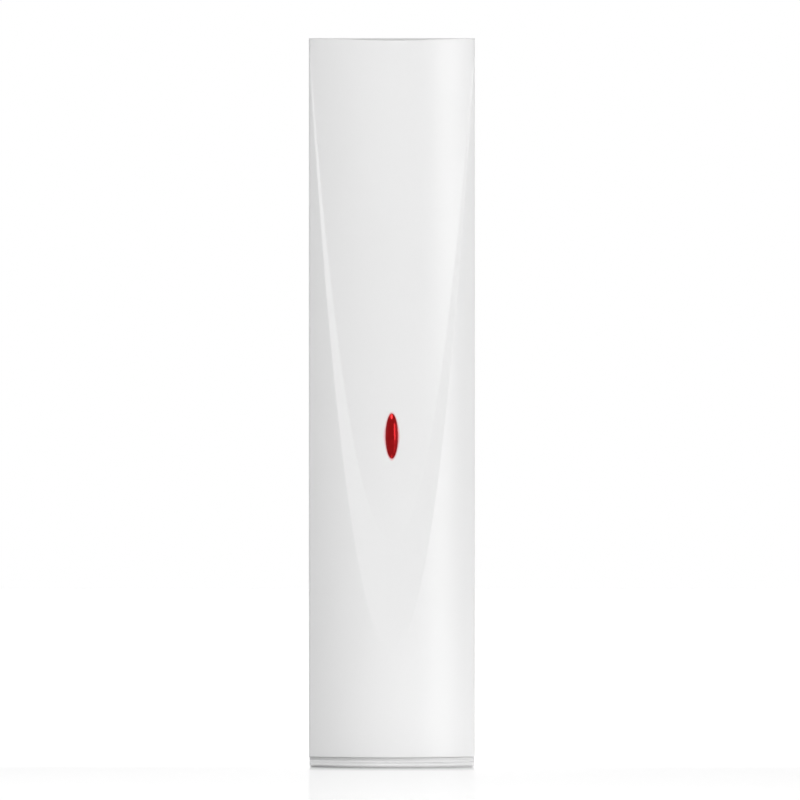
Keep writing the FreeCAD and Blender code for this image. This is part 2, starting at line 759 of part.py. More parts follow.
def make_battery_cradle():
    """The open cradle on the board that the cell drops into."""
    front_y = BOARD_FRONT_Y - CRADLE_SIDE_HEIGHT
    half = CRADLE_HALF_WIDTH
    block = box(-half, half, front_y, BOARD_FRONT_Y, CRADLE_BOTTOM_Z, CRADLE_TOP_Z)
    room = rod(
        CELL_RADIUS + CRADLE_GAP,
        Vector(0, CELL_AXIS_Y, CRADLE_BOTTOM_Z + CRADLE_END_WALL),
        Vector(0, CELL_AXIS_Y, CRADLE_TOP_Z - CRADLE_END_WALL),
    )
    cradle = block.cut(room)
    for plate_z in (CELL_TOP_Z, CRADLE_BOTTOM_Z + CRADLE_END_WALL):
        cradle = cradle.cut(contact_blade(plate_z, SEAT_GAP))
    window = box(
        -half - PAST,
        half + PAST,
        front_y - PAST,
        CELL_AXIS_Y + CRADLE_WINDOW_DEPTH,
        CELL_BOTTOM_Z + CRADLE_END_GRIP,
        CELL_TOP_Z - CRADLE_END_GRIP,
    )
    return cradle.cut(window)


def contact_blade(z_plate, play=0):
    """The flat upright part of a battery contact, from the board to past the cell's axis."""
    return box(
        -CONTACT_HALF_WIDTH - play,
        CONTACT_HALF_WIDTH + play,
        CELL_AXIS_Y - CONTACT_PAST_AXIS - play,
        BOARD_FRONT_Y,
        z_plate - play,
        z_plate + CONTACT_THICKNESS + play,
    )


def make_positive_contact():
    """The flat plate against the cell's cap."""
    return contact_blade(CELL_TOP_Z)


def make_negative_contact():
    """The plate at the other end, with a bowed leaf that pushes the cell up."""
    plate_z = CRADLE_BOTTOM_Z + CRADLE_END_WALL
    plate = contact_blade(plate_z)
    base_z = plate_z + CONTACT_THICKNESS / 2
    low_y = CELL_AXIS_Y - CONTACT_PAST_AXIS
    high_y = CELL_AXIS_Y + LEAF_REACH
    peak_z = CELL_BOTTOM_Z

    def bow(lift):
        return Part.Arc(
            Vector(-LEAF_HALF_WIDTH, low_y + lift, base_z),
            Vector(-LEAF_HALF_WIDTH, (low_y + high_y) / 2, peak_z - lift),
            Vector(-LEAF_HALF_WIDTH, high_y - lift, base_z),
        ).toShape()

    outer = bow(0)
    inner = bow(CONTACT_THICKNESS)
    ends = [
        Part.makeLine(outer.Vertexes[0].Point, inner.Vertexes[0].Point),
        Part.makeLine(outer.Vertexes[-1].Point, inner.Vertexes[-1].Point),
    ]
    face = Part.Face(Part.Wire(Part.__sortEdges__([outer, ends[1], inner, ends[0]])))
    leaf = face.extrude(Vector(2 * LEAF_HALF_WIDTH, 0, 0))
    return plate.fuse(leaf).removeSplitter()


def make_tamper_body():
    """The lid switch's body with the bore that guides its plunger."""
    body = on_board((TAMPER_SIDE, TAMPER_HEIGHT, TAMPER_SIDE), TAMPER_X, TAMPER_Z)
    bore = rod(
        TAMPER_BORE_RADIUS,
        Vector(TAMPER_X, PLUNGER_SEAT_Y - PAST, TAMPER_Z),
        Vector(TAMPER_X, PLUNGER_SEAT_Y + TAMPER_BORE_DEPTH, TAMPER_Z),
    )
    return body.cut(bore)


def make_tamper_plunger():
    """The plunger: a stem that slides in the bore, and a round head under the cover's post."""
    stem = rod(
        TAMPER_BORE_RADIUS - PLUNGER_GAP,
        Vector(TAMPER_X, PLUNGER_TIP_Y, TAMPER_Z),
        Vector(TAMPER_X, PLUNGER_TIP_Y + PLUNGER_LENGTH, TAMPER_Z),
    )
    head = rod(
        PLUNGER_HEAD_RADIUS,
        Vector(TAMPER_X, PLUNGER_TIP_Y, TAMPER_Z),
        Vector(TAMPER_X, PLUNGER_TIP_Y + PLUNGER_HEAD_THICKNESS, TAMPER_Z),
    )
    return stem.fuse(head).removeSplitter()


def make_tamper_spring():
    """The coil round the plunger's stem, between its head and the body."""
    low_y = PLUNGER_TIP_Y + PLUNGER_HEAD_THICKNESS + SPRING_WIRE_RADIUS + SEAT_GAP
    high_y = PLUNGER_SEAT_Y - SPRING_WIRE_RADIUS - SEAT_GAP
    pitch = (high_y - low_y) / SPRING_TURNS
    start = Vector(TAMPER_X, low_y, TAMPER_Z)
    return helix_wire(SPRING_RADIUS, SPRING_WIRE_RADIUS, pitch, SPRING_TURNS, start, Vector(0, 1, 0))


def terminal_x(index):
    """The middle of one way of the terminal block."""
    return TERMINAL_X + (index - (TERMINAL_COUNT - 1) / 2) * TERMINAL_PITCH


def terminal_room(index):
    """The space inside one way: a square wire entry and the screw's well."""
    x = terminal_x(index)
    half = TERMINAL_ENTRY / 2
    front_y = BOARD_FRONT_Y - TERMINAL_DEPTH
    low_z = TERMINAL_Z - TERMINAL_LENGTH / 2
    entry = box(
        x - half,
        x + half,
        BOARD_FRONT_Y - TERMINAL_WALL - 2 * half,
        BOARD_FRONT_Y - TERMINAL_WALL,
        low_z - PAST,
        TERMINAL_Z + half,
    )
    well = rod(
        TERMINAL_SCREW_RADIUS + SEAT_GAP,
        Vector(x, front_y - PAST, TERMINAL_Z),
        Vector(x, BOARD_FRONT_Y - TERMINAL_WALL - half, TERMINAL_Z),
    )
    return entry.fuse(well)


def make_terminal_housing():
    """The moulded block of screw terminals."""
    half = TERMINAL_COUNT * TERMINAL_PITCH / 2
    front_y = BOARD_FRONT_Y - TERMINAL_DEPTH
    low_z = TERMINAL_Z - TERMINAL_LENGTH / 2
    high_z = TERMINAL_Z + TERMINAL_LENGTH / 2
    x0 = TERMINAL_X - half
    points = [
        Vector(x0, BOARD_FRONT_Y, low_z),
        Vector(x0, front_y + TERMINAL_CHAMFER, low_z),
        Vector(x0, front_y, low_z + TERMINAL_CHAMFER),
        Vector(x0, front_y, high_z - TERMINAL_CHAMFER),
        Vector(x0, front_y + TERMINAL_CHAMFER, high_z),
        Vector(x0, BOARD_FRONT_Y, high_z),
    ]
    block = Part.Face(Part.makePolygon(points + [points[0]])).extrude(Vector(2 * half, 0, 0))
    for index in range(TERMINAL_COUNT):
        block = block.cut(terminal_room(index))
    return block


def make_terminal_clamps():
    """The square cage in each wire entry."""
    cages = []
    for index in range(TERMINAL_COUNT):
        x = terminal_x(index)
        half = TERMINAL_ENTRY / 2 - SEAT_GAP
        rear_y = BOARD_FRONT_Y - TERMINAL_WALL - SEAT_GAP
        cage = box(x - half, x + half, rear_y - 2 * half, rear_y, TERMINAL_Z - half, TERMINAL_Z + half)
        room = box(
            x - half + CLAMP_WALL,
            x + half - CLAMP_WALL,
            rear_y - 2 * half + CLAMP_WALL,
            rear_y - CLAMP_WALL,
            TERMINAL_Z - half - PAST,
            TERMINAL_Z + half + PAST,
        )
        cages.append(cage.cut(room))
    return Part.makeCompound(cages)


def make_terminal_screws():
    """The slotted screw of each terminal, just under the block's face."""
    screws = []
    for index in range(TERMINAL_COUNT):
        x = terminal_x(index)
        front_y = BOARD_FRONT_Y - TERMINAL_DEPTH + TERMINAL_SCREW_SLOT
        rear_y = BOARD_FRONT_Y - TERMINAL_WALL - TERMINAL_ENTRY
        screw = rod(TERMINAL_SCREW_RADIUS, Vector(x, front_y, TERMINAL_Z), Vector(x, rear_y, TERMINAL_Z))
        slot = box(
            x - TERMINAL_SCREW_RADIUS - PAST,
            x + TERMINAL_SCREW_RADIUS + PAST,
            front_y - PAST,
            front_y + TERMINAL_SCREW_SLOT,
            TERMINAL_Z - TERMINAL_SCREW_SLOT / 2,
            TERMINAL_Z + TERMINAL_SCREW_SLOT / 2,
        )
        screws.append(screw.cut(slot))
    return Part.makeCompound(screws)


def make_antenna_coil():
    """The wound wire antenna that stands on the board beside the light guide."""
    axis_y = BOARD_FRONT_Y - ANTENNA_RADIUS - ANTENNA_WIRE
    x = BOARD_HALF_WIDTH - ANTENNA_RADIUS - ANTENNA_WIRE - RAIL_WIDTH
    low = Vector(x, axis_y, ANTENNA_TOP_Z - ANTENNA_WIRE - ANTENNA_PITCH * ANTENNA_TURNS)
    return helix_wire(ANTENNA_RADIUS, ANTENNA_WIRE, ANTENNA_PITCH, ANTENNA_TURNS, low, Vector(0, 0, 1))


def behind_board(size, x, z):
    """A block of size (wide, tall off the board, long) on the board's back at x, z."""
    return on_board(size, x, z).translate(Vector(0, BOARD_THICKNESS + size[1], 0))


def chip_with_leads(size, x, z):
    """A flat chip on the board's back, with a row of leads down each long side."""
    chip = behind_board(size, x, z)
    count = int(size[2] / LEAD_PITCH) - 1
    for side in (-1, 1):
        for index in range(count):
            lead_z = z + (index - (count - 1) / 2) * LEAD_PITCH
            lead_x = x + side * (size[0] / 2 + LEAD_SIZE[0] / 2 - LEAD_SIZE[2])
            chip = chip.fuse(behind_board(LEAD_SIZE, lead_x, lead_z))
    return chip


def make_microcontroller():
    """The chip that reads the reeds and the lid switch."""
    return chip_with_leads(CONTROLLER, 0, CONTROLLER_Z)


def make_radio_chip():
    """The radio, level with the antenna."""
    return chip_with_leads(RADIO_CHIP, 0, RADIO_Z)


def make_crystal_can():
    """The crystal's flat can with round ends, lying on the board."""
    x = TAMPER_X + TAMPER_SIDE / 2 - CRYSTAL[0] / 2
    z = TAMPER_Z - TAMPER_SIDE / 2 - CRYSTAL[2] / 2 - PART_GAP
    can = on_board(CRYSTAL, x, z)
    upright = [edge for edge in can.Edges if edge.BoundBox.YLength > SEAT_GAP]
    return can.makeFillet(CRYSTAL_ROUNDING, upright)


def make_storage_capacitor():
    """A small can lying on the board under the cradle's foot."""
    x = BOARD_HALF_WIDTH - CAPACITOR_RADIUS - RAIL_WIDTH
    y = BOARD_FRONT_Y - CAPACITOR_RADIUS
    top = Vector(x, y, CAPACITOR_TOP_Z)
    can = rod(CAPACITOR_RADIUS, top - Vector(0, 0, CAPACITOR_LENGTH), top)
    rims = [edge for edge in can.Edges if isinstance(edge.Curve, Part.Circle)]
    return can.makeChamfer(CAPACITOR_EDGE, rims)


def header_place():
    """The middle of the two-pin header, on the left under the cradle."""
    x = HEADER_EDGE - BOARD_HALF_WIDTH
    z = CRADLE_BOTTOM_Z - PART_GAP - HEADER_PITCH / 2
    return x, z


def header_x(sense):
    """The middle of one pin."""
    return header_place()[0] + sense * HEADER_PITCH / 2


def make_header_pins():
    """The two square pins."""
    z = header_place()[1]
    return Part.makeCompound(
        [on_board((HEADER_PIN, HEADER_PIN_LENGTH, HEADER_PIN), header_x(sense), z) for sense in (-1, 1)]
    )


def pin_holes(z, play):
    """Square holes through which the header's pins pass."""
    width = HEADER_PIN + play
    holes = [on_board((width, HEADER_PIN_LENGTH + PAST, width), header_x(sense), z) for sense in (-1, 1)]
    return holes[0].fuse(holes[1])


def make_header_block():
    """The plastic strip at the pins' feet."""
    x, z = header_place()
    block = on_board((2 * HEADER_PITCH, HEADER_BLOCK_HEIGHT, HEADER_PITCH), x, z)
    return block.cut(pin_holes(z, 0))


def make_jumper_cap():
    """The cap that joins the two pins."""
    x, z = header_place()
    cap = box(
        x - HEADER_PITCH,
        x + HEADER_PITCH,
        BOARD_FRONT_Y - HEADER_BLOCK_HEIGHT - JUMPER_HEIGHT - SEAT_GAP,
        BOARD_FRONT_Y - HEADER_BLOCK_HEIGHT - SEAT_GAP,
        z - HEADER_PITCH / 2,
        z + HEADER_PITCH / 2,
    )
    return cap.cut(pin_holes(z, SEAT_GAP))


def chip_row(z):
    """A row of small chip parts across the board's back, centred on it."""
    first_x = -CHIP_PITCH * (CHIP_COUNT - 1) / 2
    chips = [behind_board(CHIP_PART, first_x + index * CHIP_PITCH, z) for index in range(CHIP_COUNT)]
    return Part.makeCompound(chips)


def make_chip_resistors():
    """The row of small resistors under the controller."""
    return chip_row(CONTROLLER_Z - CONTROLLER[2] / 2 - CHIP_PITCH)


def make_chip_capacitors():
    """The row of small capacitors above the radio."""
    return chip_row(RADIO_Z + RADIO_CHIP[2] / 2 + CHIP_PITCH)


def all_parts():
    """Every node's name and its shape."""
    side_centre = Vector(SIDE_REED_X, reed_axis_y(), SIDE_REED_Z)
    end_centre = Vector(0, reed_axis_y(), END_REED_Z)
    upright = Vector(0, 0, 1)
    across = Vector(1, 0, 0)
    return {
        "front_cover": make_front_cover(),
        "rear_base": make_rear_base(),
        "light_guide": make_light_guide(),
        "circuit_board": make_circuit_board(),
        "status_led": make_status_led(),
        "side_reed_glass": make_reed_glass(side_centre, upright),
        "side_reed_blades": make_reed_blades(side_centre, upright),
        "end_reed_glass": make_reed_glass(end_centre, across),
        "end_reed_blades": make_reed_blades(end_centre, across),
        "battery_cell": make_battery_cell(),
        "battery_cradle": make_battery_cradle(),
        "positive_contact": make_positive_contact(),
        "negative_contact": make_negative_contact(),
        "tamper_body": make_tamper_body(),
        "tamper_plunger": make_tamper_plunger(),
        "tamper_spring": make_tamper_spring(),
        "terminal_housing": make_terminal_housing(),
        "terminal_clamps": make_terminal_clamps(),
        "terminal_screws": make_terminal_screws(),
        "antenna_coil": make_antenna_coil(),
        "radio_chip": make_radio_chip(),
        "microcontroller": make_microcontroller(),
        "crystal_can": make_crystal_can(),
        "storage_capacitor": make_storage_capacitor(),
        "header_pins": make_header_pins(),
        "header_block": make_header_block(),
        "jumper_cap": make_jumper_cap(),
        "chip_resistors": make_chip_resistors(),
        "chip_capacitors": make_chip_capacitors(),
    }


def main():
    """Write every node's STEP file."""
    os.makedirs("parts", exist_ok=True)
    for name, shape in all_parts().items():
        shape.exportStep(f"parts/{name}.step")
        print(f"{name}: {shape.Volume:.1f} mm3, {len(shape.Solids)} solid(s), valid {shape.isValid()}")


main()
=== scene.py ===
"""Wireless magnetic contact: the finish of every part, the fine parts on its board, and a plain studio.

Everything is in metres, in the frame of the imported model: +X to the right seen from the front, the front
faces -Y, +Z is up, and the contact stands on its foot at z = 0.
"""

import math

import bmesh
import bpy
from mathutils import Matrix, Vector


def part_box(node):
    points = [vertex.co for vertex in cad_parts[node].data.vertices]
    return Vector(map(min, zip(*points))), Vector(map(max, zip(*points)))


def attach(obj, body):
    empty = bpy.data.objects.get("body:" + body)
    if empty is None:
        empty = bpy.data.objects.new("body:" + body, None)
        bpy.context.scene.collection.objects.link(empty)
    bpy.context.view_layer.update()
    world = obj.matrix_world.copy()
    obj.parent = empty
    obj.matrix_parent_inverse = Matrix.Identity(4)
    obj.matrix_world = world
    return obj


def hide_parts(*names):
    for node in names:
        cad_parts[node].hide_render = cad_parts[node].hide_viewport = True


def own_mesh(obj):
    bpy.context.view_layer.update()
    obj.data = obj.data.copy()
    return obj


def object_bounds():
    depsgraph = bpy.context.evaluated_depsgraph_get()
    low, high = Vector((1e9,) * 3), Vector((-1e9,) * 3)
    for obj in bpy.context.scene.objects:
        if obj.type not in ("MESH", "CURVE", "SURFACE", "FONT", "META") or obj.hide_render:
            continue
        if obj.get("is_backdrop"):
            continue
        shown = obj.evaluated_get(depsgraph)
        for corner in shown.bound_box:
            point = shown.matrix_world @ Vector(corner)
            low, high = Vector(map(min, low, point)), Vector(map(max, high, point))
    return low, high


bl_info = {
    "name": "Wireless magnetic contact",
    "version": (1, 0, 0),
    "blender": (4, 5, 0),
    "location": "View3D > Sidebar > Contact",
    "description": "Finishes a slim wireless door contact and sets it on a pale studio floor",
    "category": "Object",
}

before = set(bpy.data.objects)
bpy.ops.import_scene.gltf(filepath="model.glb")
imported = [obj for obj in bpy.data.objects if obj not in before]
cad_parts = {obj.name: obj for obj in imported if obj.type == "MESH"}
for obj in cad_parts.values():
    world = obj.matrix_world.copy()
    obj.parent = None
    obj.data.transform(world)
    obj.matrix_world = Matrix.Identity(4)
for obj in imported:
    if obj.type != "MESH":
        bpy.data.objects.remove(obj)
CAD_BOX = [list(corner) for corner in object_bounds()]
MILLIMETRE = 0.001

# The contact's front, back and right side
FRONT, BACK = CAD_BOX[0][1], CAD_BOX[1][1]
SIDE = CAD_BOX[1][0]

# The sweep: half its side, the share of white that it adds for the view in front of the contact, the
# share that it mirrors, and from where to where its white grows to full behind the contact
SWEEP_REACH = 1.6
FLOOR_LIFT = 0.62
FLOOR_GLOSS = 0.27
FAR_SIDE = (FRONT, BACK * 2)

# The contact's painted shadow on the sweep: how far it reaches, how deep it is, and where it ends on each
# side
PAINTED_SHADOW_REACH = 0.02
PAINTED_SHADOW_DEPTH = 1.6
PAINTED_SHADOW_SIDES = (SIDE - 0.75 * MILLIMETRE, SIDE - 0.05 * MILLIMETRE)

# The pool of light on the sweep: its middle, its full and its outer radius, and its strength
POOL_PLACE = (0.02, -0.04, 0)
POOL_RADII = (0.015, 0.045)
POOL_GLOW = 0.69

# Each lamp's place and size, and how far up the contact it looks, as a share of the height
LAMPS = {
    "top": ((-0.05, -0.85, 0.52), (0.45, 0.18), 0.5),
    "key": ((0.64, -0.64, 0.05), (0.35, 0.45), 0.5),
    "rim": ((0.9, 0.05, 0.2), (0.3, 0.6), 0.5),
    "corner": ((-0.2, -0.22, 0.26), (0.15, 0.15), 0.9),
}


def linear(code):
    """The linear colour of an sRGB hex code such as #F0F0F0."""
    channels = [int(code[place : place + 2], 16) / 255 for place in (1, 3, 5)]
    return tuple(c / 12.92 if c <= 0.04045 else ((c + 0.055) / 1.055) ** 2.4 for c in channels)


def colour(name, description, code):
    """A colour that a user may change."""
    return bpy.props.FloatVectorProperty(
        name=name, description=description, subtype="COLOR", size=3, min=0, max=1, default=linear(code)
    )


def length(name, description, millimetres):
    """A length that a user may change, shown in the scene's unit."""
    return bpy.props.FloatProperty(
        name=name,
        description=description,
        unit="LENGTH",
        precision=5,
        min=0,
        default=millimetres * MILLIMETRE,
    )


def amount(name, description, default, high=1.0):
    """A plain number from 0 up to a limit that a user may change."""
    return bpy.props.FloatProperty(name=name, description=description, min=0, max=high, default=default)


def power(name, description, watts):
    """A lamp's power that a user may change."""
    return bpy.props.FloatProperty(name=name, description=description, unit="POWER", min=0, default=watts)


class CONTACT_PG_finish(bpy.types.PropertyGroup):
    """Colours and surface qualities of the parts."""

    cover_colour: colour("Cover", "White ABS of the front cover", "#F1F1F1")
    base_colour: colour("Base", "White ABS of the rear base", "#F0F0F0")
    cover_roughness: amount("Cover roughness", "How matt the polished mould left the cover", 0.32)
    crease_radius: length("Crease radius", "How softly the cover's faces turn into each other", 0.35)
    # The cover's painted red glow round the light guide: its colour and how far out it reaches
    painted_glow_colour: colour("Glow", "Cover beside the light guide, with red showing through it", "#F2A0A6")
    painted_glow_reach: length("Glow reach", "How far out the red shows through the cover", 0.42)
    guide_flange: length("Guide flange", "Width of the light guide's flange behind the cover", 0.55)
    lens_colour: colour("Light guide", "Red of the light guide seen straight on", "#670002")
    # The light guide's brighter rim is painted light
    lens_painted_rim_colour: colour("Light guide rim", "Red of the light guide where it turns away", "#B4001A")
    board_colour: colour("Board", "Green solder resist", "#14532D")
    cell_colour: colour("Cell sleeve", "Blue shrunk film round the cell", "#2A4B8D")
    terminal_colour: colour("Terminal block", "Green of the terminal block", "#1F7A3C")


class CONTACT_PG_detail(bpy.types.PropertyGroup):
    """Sizes of the fine parts on the board."""

    solder_radius: length("Solder radius", "Radius of a solder joint's foot", 0.75)
    solder_height: length("Solder height", "How far a joint rises off the board", 0.7)
    tail_radius: length("Tail radius", "Radius of the wire end that stands out of a joint", 0.28)
    lead_radius: length("Lead radius", "Radius of the wires of the crystal and the capacitor", 0.22)


class CONTACT_PG_studio(bpy.types.PropertyGroup):
    """Camera, lamps and floor."""

    focal_length: bpy.props.FloatProperty(
        name="Focal length",
        description="Long lens, so that the sides hardly show",
        subtype="DISTANCE_CAMERA",
        unit="CAMERA",
        default=500,
    )
    distance: length("Distance", "From the camera to the middle of the front", 1718)
    aim_x: length("Aim across", "How far right of the contact's middle the camera looks", 1.26)
    aim_z: length("Aim height", "Height of the level camera above the floor", 56.4)
    top_power: power("Top lamp", "Soft box above and in front", 3.77)
    key_power: power("Key lamp", "Low soft box on the right", 2.36)
    rim_power: power("Rim lamp", "Soft box beside the contact, on the right", 0.78)
    corner_power: power("Corner lamp", "Small soft box above on the left", 0.1)
    room_level: amount("Room light", "Light from the room at eye level", 0.2, high=2.0)
    ceiling_level: amount("Ceiling light", "Light from the room overhead", 0.0, high=2.0)
    backdrop_level: amount("Backdrop light", "Light from the white wall behind the contact", 1.2, high=3.0)


def add_node(tree, kind, inputs=None, links=None, **settings):
    """Adds a node, with its settings, its input values and the sockets linked to its inputs."""
    node = tree.nodes.new(kind)
    for name, value in settings.items():
        setattr(node, name, value)
    for name, value in (inputs or {}).items():
        node.inputs[name].default_value = value
    for name, source in (links or {}).items():
        tree.links.new(source, node.inputs[name])
    return node


def start_material(name, **shader_values):
    """A new material's tree, its shader with the given values, and its coordinates in metres."""
    material = bpy.data.materials.new(name)
    material.use_nodes = True
    tree = material.node_tree
    shader = next(node for node in tree.nodes if node.type == "BSDF_PRINCIPLED")
    for label, value in shader_values.items():
        socket = shader.inputs[label.replace("_", " ")]
        is_colour = socket.type == "RGBA"
        socket.default_value = (*value, 1) if is_colour else value
    place = add_node(tree, "ShaderNodeTexCoord").outputs["Object"]
    return material, tree, shader, place


def per_metre(millimetres):
    """The scale of a pattern whose features lie this far apart."""
    return 1 / (millimetres * MILLIMETRE)


def shade(hue, factor):
    """The colour made darker or lighter by a factor."""
    return tuple(min(1.0, channel * factor) for channel in hue)


def dress(node_name, material):
    """Gives a part of the model its finish."""
    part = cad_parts[node_name]
    for slot in part.material_slots:
        slot.material = material
    if not part.material_slots:
        part.data.materials.append(material)


def middle(node_name):
    """The middle of a part's box."""
    low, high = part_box(node_name)
    return (Vector(low) + Vector(high)) / 2


# Materials


def ripple(tree, shader, place, spacing_mm, height_mm, detail=0.0, normal=None):
    """Raises the surface in waves this far apart and this high, and returns the waves, from 0 to 1."""
    waves = add_node(
        tree, "ShaderNodeTexNoise", {"Scale": per_metre(spacing_mm), "Detail": detail}, {"Vector": place}
    ).outputs["Fac"]
    links = {"Height": waves}
    if normal is not None:
        links["Normal"] = normal
    relief = add_node(tree, "ShaderNodeBump", {"Strength": 1.0, "Distance": height_mm * MILLIMETRE}, links)
    tree.links.new(relief.outputs["Normal"], shader.inputs["Normal"])
    return waves


def mottle(tree, shader, place, dark, pale, spacing_mm, height_mm, detail=2.0):
    """Ripples the surface, dark in its hollows and pale on its tops, and returns the ripple."""
    grain = ripple(tree, shader, place, spacing_mm, height_mm, detail)
    hue = add_node(
        tree, "ShaderNodeMix", {6: (*dark, 1), 7: (*pale, 1)}, {0: grain}, data_type="RGBA"
    ).outputs[2]
    tree.links.new(hue, shader.inputs["Base Color"])
    return grain


def bare_metal_beyond(tree, shader, place, axis, low, high, covered, bare):
    """Metal past two places along an axis, and its covering between them."""
    along = add_node(tree, "ShaderNodeSeparateXYZ", links={"Vector": place}).outputs[axis]
    past = add_node(tree, "ShaderNodeMath", {1: high}, {0: along}, operation="GREATER_THAN").outputs[0]
    before = add_node(tree, "ShaderNodeMath", {1: low}, {0: along}, operation="LESS_THAN").outputs[0]
    metal = add_node(tree, "ShaderNodeMath", links={0: past, 1: before}, operation="MAXIMUM").outputs[0]
    hue = add_node(
        tree, "ShaderNodeMix", {6: (*covered, 1), 7: (*bare, 1)}, {0: metal}, data_type="RGBA"
    ).outputs[2]
    tree.links.new(hue, shader.inputs["Base Color"])
    tree.links.new(metal, shader.inputs["Metallic"])


def beyond_lens(tree, place, flange):
    """How far out from the light guide's oval a place on the cover is, in metres."""
    low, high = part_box("light_guide")
    half = (high - low) / 2
    offset = add_node(
        tree, "ShaderNodeVectorMath", {1: middle("light_guide")}, {0: place}, operation="SUBTRACT"
    ).outputs[0]
    lengths = []
    for scale in ((1, 0, 1), (1 / (half.x - flange), 0, 1 / (half.z - flange))):
        seen = add_node(
            tree, "ShaderNodeVectorMath", {1: scale}, {0: offset}, operation="MULTIPLY"
        ).outputs[0]
        distance = add_node(tree, "ShaderNodeVectorMath", links={0: seen}, operation="LENGTH")
        lengths.append(distance.outputs["Value"])
    out, ratio = lengths
    edge = add_node(tree, "ShaderNodeMath", links={0: out, 1: ratio}, operation="DIVIDE").outputs[0]
    return add_node(tree, "ShaderNodeMath", links={0: out, 1: edge}, operation="SUBTRACT").outputs[0]


def polished_abs(name, hue, roughness, crease, glow=None):
    """White ABS from a polished mould: even and glossy, with a hardly visible orange peel."""
    material, tree, shader, place = start_material(name, Base_Color=hue, IOR=1.53, Roughness=roughness)
    # Slow clouds in the white, and patches in its sheen, keep the large faces from looking dead even
    clouds, patches = (
        add_node(tree, "ShaderNodeTexNoise", {"Scale": per_metre(spacing)}, {"Vector": place}).outputs["Fac"]
        for spacing in (18, 6)
    )
    white = add_node(
        tree, "ShaderNodeMix", {6: (*shade(hue, 0.985), 1), 7: (*hue, 1)}, {0: clouds}, data_type="RGBA"
    ).outputs[2]
    if glow:
        # Painted glow: red light from the guide shining through the thin white wall round the opening is
        # painted into the cover's colour
        painted_glow_hue, reach, flange = glow
        near = add_node(
            tree,
            "ShaderNodeMapRange",
            {"From Min": 0.0, "From Max": reach, "To Min": 1.0, "To Max": 0.0},
            {"Value": beyond_lens(tree, place, flange)},
        ).outputs["Result"]
        white = add_node(
            tree, "ShaderNodeMix", {7: (*painted_glow_hue, 1)}, {0: near, 6: white}, data_type="RGBA"
        ).outputs[2]
    tree.links.new(white, shader.inputs["Base Color"])
    sheen = add_node(
        tree,
        "ShaderNodeMapRange",
        {"From Min": 0.3, "From Max": 0.7, "To Min": roughness - 0.02, "To Max": roughness + 0.02},
        {"Value": patches},
    ).outputs["Result"]
    tree.links.new(sheen, shader.inputs["Roughness"])
    # The mould's edges were eased by hand, so light turns softly over each crease
    eased = add_node(tree, "ShaderNodeBevel", {"Radius": crease}, samples=8).outputs["Normal"]
    ripple(tree, shader, place, spacing_mm=1.2, height_mm=0.0006, normal=eased)
    return material


def clear_red_polycarbonate(name, hue, painted_rim_hue):
    """Clear red polycarbonate, moulded: deep red straight on, with a painted brighter rim where it turns
    away, and sharp red glints.
    """
    # Most of its shine comes back from inside, through the red, so its glints are red too
    material, tree, shader, place = start_material(
        name, IOR=1.8, Roughness=0.1, Specular_IOR_Level=1.0, Specular_Tint=linear("#FF3A3E")
    )
    # Painted rim light: the red is mixed to a brighter red where the surface turns away from the view
    facing = add_node(tree, "ShaderNodeLayerWeight", {"Blend": 0.35}).outputs["Facing"]
    red = add_node(
        tree, "ShaderNodeMix", {6: (*hue, 1), 7: (*painted_rim_hue, 1)}, {0: facing}, data_type="RGBA"
    ).outputs[2]
    tree.links.new(red, shader.inputs["Base Color"])
    ripple(tree, shader, place, spacing_mm=0.9, height_mm=0.0004)
    return material


def solder_resist(name, hue):
    """Glass fibre under green resist: raised copper shows through as paler, straight-sided patches."""
    material, tree, shader, place = start_material(name, IOR=1.5, Roughness=0.34, Coat_Weight=0.2)
    # The patches lie about as far apart as the header's pins
    spots = add_node(
        tree, "ShaderNodeTexVoronoi", {"Scale": per_metre(2.54)}, {"Vector": place}, distance="MANHATTAN"
    ).outputs["Distance"]
    copper = add_node(
        tree,
        "ShaderNodeMapRange",
        {"From Min": 0.42, "From Max": 0.46, "To Min": 1.0, "To Max": 0.0},
        {"Value": spots},
    ).outputs["Result"]
    green = add_node(
        tree, "ShaderNodeMix", {6: (*hue, 1), 7: (*shade(hue, 1.6), 1)}, {0: copper}, data_type="RGBA"
    ).outputs[2]
    tree.links.new(green, shader.inputs["Base Color"])
    copper_height = 0.035 * MILLIMETRE
    relief = add_node(
        tree, "ShaderNodeBump", {"Strength": 1.0, "Distance": copper_height}, {"Height": copper}
    )
    tree.links.new(relief.outputs["Normal"], shader.inputs["Normal"])
    return material


def moulded_nylon(name, hue, roughness=0.55):
    """Nylon or acetal, moulded: matt, with a fine grain where fibres and filler reach the surface."""
    material, tree, shader, place = start_material(name, IOR=1.53, Roughness=roughness)
    dark, pale = shade(hue, 0.85), shade(hue, 1.15)
    mottle(tree, shader, place, dark, pale, spacing_mm=0.25, height_mm=0.004, detail=4.0)
    return material


def drawn_glass(name):
    """Drawn glass with a green cast, as reed switches have: clear, with slow waves along the tube."""
    material, tree, shader, place = start_material(
        name, Base_Color=linear("#DDF2E6"), IOR=1.47, Roughness=0.02, Transmission_Weight=0.95
    )
    ripple(tree, shader, place, spacing_mm=2.5, height_mm=0.003)
    return material


